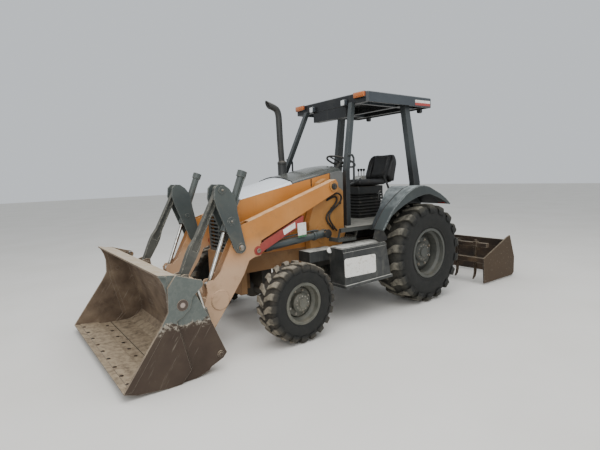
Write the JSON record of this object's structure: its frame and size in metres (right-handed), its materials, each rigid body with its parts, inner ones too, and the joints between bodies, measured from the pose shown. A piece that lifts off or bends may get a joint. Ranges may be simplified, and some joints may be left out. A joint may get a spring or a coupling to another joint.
{
  "type": "tractor loader",
  "caption": "Four-wheel-drive tractor loader with canopy, parallel-lift arms, a four-in-one clam bucket in front and a ripper box blade on a three-point hitch behind",
  "frame": {"origin": "On the ground at the middle of the machine's length, +X forward to the bucket, +Y to the driver's left, +Z up.", "axes": "+X runs the length of the machine from the box blade to the bucket's lip."},
  "size_m": [6.119, 2.142, 2.734],
  "materials": {
    "orange_paint": "faded satin",
    "grey_paint": "satin, dusty",
    "roof_paint": "satin",
    "rusty_steel": "worn paint and rust",
    "dark_steel": "matt",
    "red_paint": "faded",
    "rubber": "dusty",
    "rim_paint": "dusty",
    "chrome_rod": "polished",
    "seat_vinyl": "matt",
    "black_plastic": "matt",
    "lamp_lens": "clear and amber"
  },
  "bodies": {
    "chassis": {"canopy_roof": "roof_paint", "canopy_lamps": "lamp_lens", "chassis_frame": "orange_paint", "cowl": "grey_paint", "engine_and_gearbox": "dark_steel", "exhaust_stack": "dark_steel", "fenders": "grey_paint", "front_axle": "dark_steel", "grille": "grey_paint", "hood_sides": "orange_paint", "hood_top": "grey_paint", "loader_towers": "orange_paint", "platform": "dark_steel", "rear_axle": "dark_steel", "rollover_posts": "grey_paint", "seat": "seat_vinyl", "side_boxes": "grey_paint", "steering_wheel": "black_plastic"},
    "knuckle_left": {"knuckle_left": "dark_steel"},
    "knuckle_right": {"knuckle_right": "dark_steel"},
    "wheel_front_left": {"rim_front_left": "rim_paint", "tyre_front_left": "rubber"},
    "wheel_front_right": {"rim_front_right": "rim_paint", "tyre_front_right": "rubber"},
    "wheel_rear_left": {"rim_rear_left": "rim_paint", "tyre_rear_left": "rubber"},
    "wheel_rear_right": {"rim_rear_right": "rim_paint", "tyre_rear_right": "rubber"},
    "arms": {"loader_arms": "orange_paint", "lift_lock_strut": "red_paint"},
    "lift_barrels": {"lift_barrels": "grey_paint"},
    "lift_rods": {"lift_rods": "chrome_rod"},
    "levers": {"bucket_levers": "grey_paint"},
    "links": {"dump_links": "grey_paint"},
    "tilt_barrels": {"tilt_barrels": "grey_paint"},
    "tilt_rods": {"tilt_rods": "chrome_rod"},
    "bucket": {"bucket_back": "rusty_steel"},
    "clam": {"bucket_clam": "rusty_steel"},
    "clam_barrels": {"clam_barrels": "grey_paint"},
    "clam_rods": {"clam_rods": "chrome_rod"},
    "lower_links": {"hitch_lower_links": "dark_steel"},
    "lift_hangers": {"hitch_lift_rods": "dark_steel"},
    "rockshaft": {"hitch_rockshaft": "dark_steel"},
    "top_link": {"hitch_top_link": "dark_steel"},
    "blade": {"box_blade": "rusty_steel"}
  },
  "joints": [
    {"name": "steer_left", "type": "hinge", "parent": "chassis", "child": "knuckle_left", "pos_m": [1.2375, 0.7, 0.421], "axis": [0, 0, 1], "range_deg": [-35, 35]},
    {"name": "steer_right", "type": "hinge", "parent": "chassis", "child": "knuckle_right", "pos_m": [1.2375, -0.7, 0.421], "axis": [0, 0, 1], "range_deg": [-35.5, 35.5]},
    {"name": "front_left_spin", "type": "hinge", "parent": "knuckle_left", "child": "wheel_front_left", "pos_m": [1.2375, 0.907, 0.421], "axis": [0, 1, 0], "continuous": true},
    {"name": "front_right_spin", "type": "hinge", "parent": "knuckle_right", "child": "wheel_front_right", "pos_m": [1.2375, -0.907, 0.421], "axis": [0, 1, 0], "continuous": true},
    {"name": "rear_left_spin", "type": "hinge", "parent": "chassis", "child": "wheel_rear_left", "pos_m": [-0.9045, 0.791, 0.656], "axis": [0, 1, 0], "continuous": true},
    {"name": "rear_right_spin", "type": "hinge", "parent": "chassis", "child": "wheel_rear_right", "pos_m": [-0.9045, -0.791, 0.656], "axis": [0, 1, 0], "continuous": true},
    {"name": "loader_lift", "type": "hinge", "parent": "chassis", "child": "arms", "pos_m": [0.4375, 0, 1.595], "axis": [0, -1, 0], "range_deg": [0, 80]},
    {"name": "lift_barrel_swing", "type": "hinge", "parent": "chassis", "child": "lift_barrels", "pos_m": [0.5455, 0, 1.04], "axis": [0, -1, 0], "range_deg": [0, 71.02]},
    {"name": "lift_rod_slide", "type": "slide", "parent": "lift_barrels", "child": "lift_rods", "axis": [0.9967, 0, -0.0814], "range_m": [0, 0.749]},
    {"name": "bucket_tilt", "type": "hinge", "parent": "arms", "child": "bucket", "pos_m": [2.1455, 0, 0.205], "axis": [0, 1, 0], "range_deg": [-22, 100]},
    {"name": "lever_swing", "type": "hinge", "parent": "arms", "child": "levers", "pos_m": [1.7205, 0, 1.023], "axis": [0, 1, 0], "range_deg": [-22.5, 100.5]},
    {"name": "link_swing", "type": "hinge", "parent": "levers", "child": "links", "pos_m": [1.9105, 0, 1.622], "axis": [0, 1, 0], "range_deg": [-100.5, 22.5]},
    {"name": "tilt_barrel_swing", "type": "hinge", "parent": "levers", "child": "tilt_barrels", "pos_m": [1.8205, 0, 1.304], "axis": [0, 1, 0], "range_deg": [-77.1, 17.35]},
    {"name": "tilt_rod_slide", "type": "slide", "parent": "tilt_barrels", "child": "tilt_rods", "axis": [-0.3745, 0, 0.9272], "range_m": [-0.1049, 0.46975]},
    {"name": "clam_open", "type": "hinge", "parent": "bucket", "child": "clam", "pos_m": [2.5365, 0, 0.687], "axis": [0, -1, 0], "range_deg": [0, 45]},
    {"name": "clam_barrel_swing", "type": "hinge", "parent": "bucket", "child": "clam_barrels", "pos_m": [2.2055, 0, 0.162], "axis": [0, -1, 0], "range_deg": [0, 4.17]},
    {"name": "clam_rod_slide", "type": "slide", "parent": "clam_barrels", "child": "clam_rods", "axis": [-0.2482, 0, -0.9687], "range_m": [0, 0.1667]},
    {"name": "hitch_lift", "type": "hinge", "parent": "chassis", "child": "lower_links", "pos_m": [-1.0245, 0, 0.48], "axis": [0, 1, 0], "range_deg": [0, 22]},
    {"name": "lift_hanger_swing", "type": "hinge", "parent": "lower_links", "child": "lift_hangers", "pos_m": [-1.42386, 0, 0.45739], "axis": [0, 1, 0], "range_deg": [-22.5, 0]},
    {"name": "rockshaft_turn", "type": "hinge", "parent": "chassis", "child": "rockshaft", "pos_m": [-1.0245, 0, 0.88], "axis": [0, 1, 0], "range_deg": [0, 22.5]},
    {"name": "top_link_swing", "type": "hinge", "parent": "chassis", "child": "top_link", "pos_m": [-1.1345, 0, 0.8], "axis": [0, 1, 0], "range_deg": [0, 24.5]},
    {"name": "blade_tilt", "type": "hinge", "parent": "lower_links", "child": "blade", "pos_m": [-2.0845, 0, 0.42], "axis": [0, 1, 0], "range_deg": [-15.13, 0]}
  ],
  "couplings": [
    {"joint": "steer_right", "follows": "steer_left", "ratio": 1},
    {"joint": "lift_barrel_swing", "follows": "loader_lift", "ratio": 0.8815},
    {"joint": "lift_rod_slide", "follows": "loader_lift", "m_per_rad": 0.535},
    {"joint": "lever_swing", "follows": "bucket_tilt", "ratio": 1},
    {"joint": "link_swing", "follows": "bucket_tilt", "ratio": -1},
    {"joint": "tilt_barrel_swing", "follows": "bucket_tilt", "ratio": -0.766},
    {"joint": "tilt_rod_slide", "follows": "bucket_tilt", "m_per_rad": 0.268},
    {"joint": "clam_barrel_swing", "follows": "clam_open", "ratio": 0.0815},
    {"joint": "clam_rod_slide", "follows": "clam_open", "m_per_rad": 0.2097},
    {"joint": "lift_hanger_swing", "follows": "hitch_lift", "ratio": -1},
    {"joint": "rockshaft_turn", "follows": "hitch_lift", "ratio": 1},
    {"joint": "top_link_swing", "follows": "hitch_lift", "ratio": 1.0907},
    {"joint": "blade_tilt", "follows": "hitch_lift", "ratio": -0.6652}
  ]
}
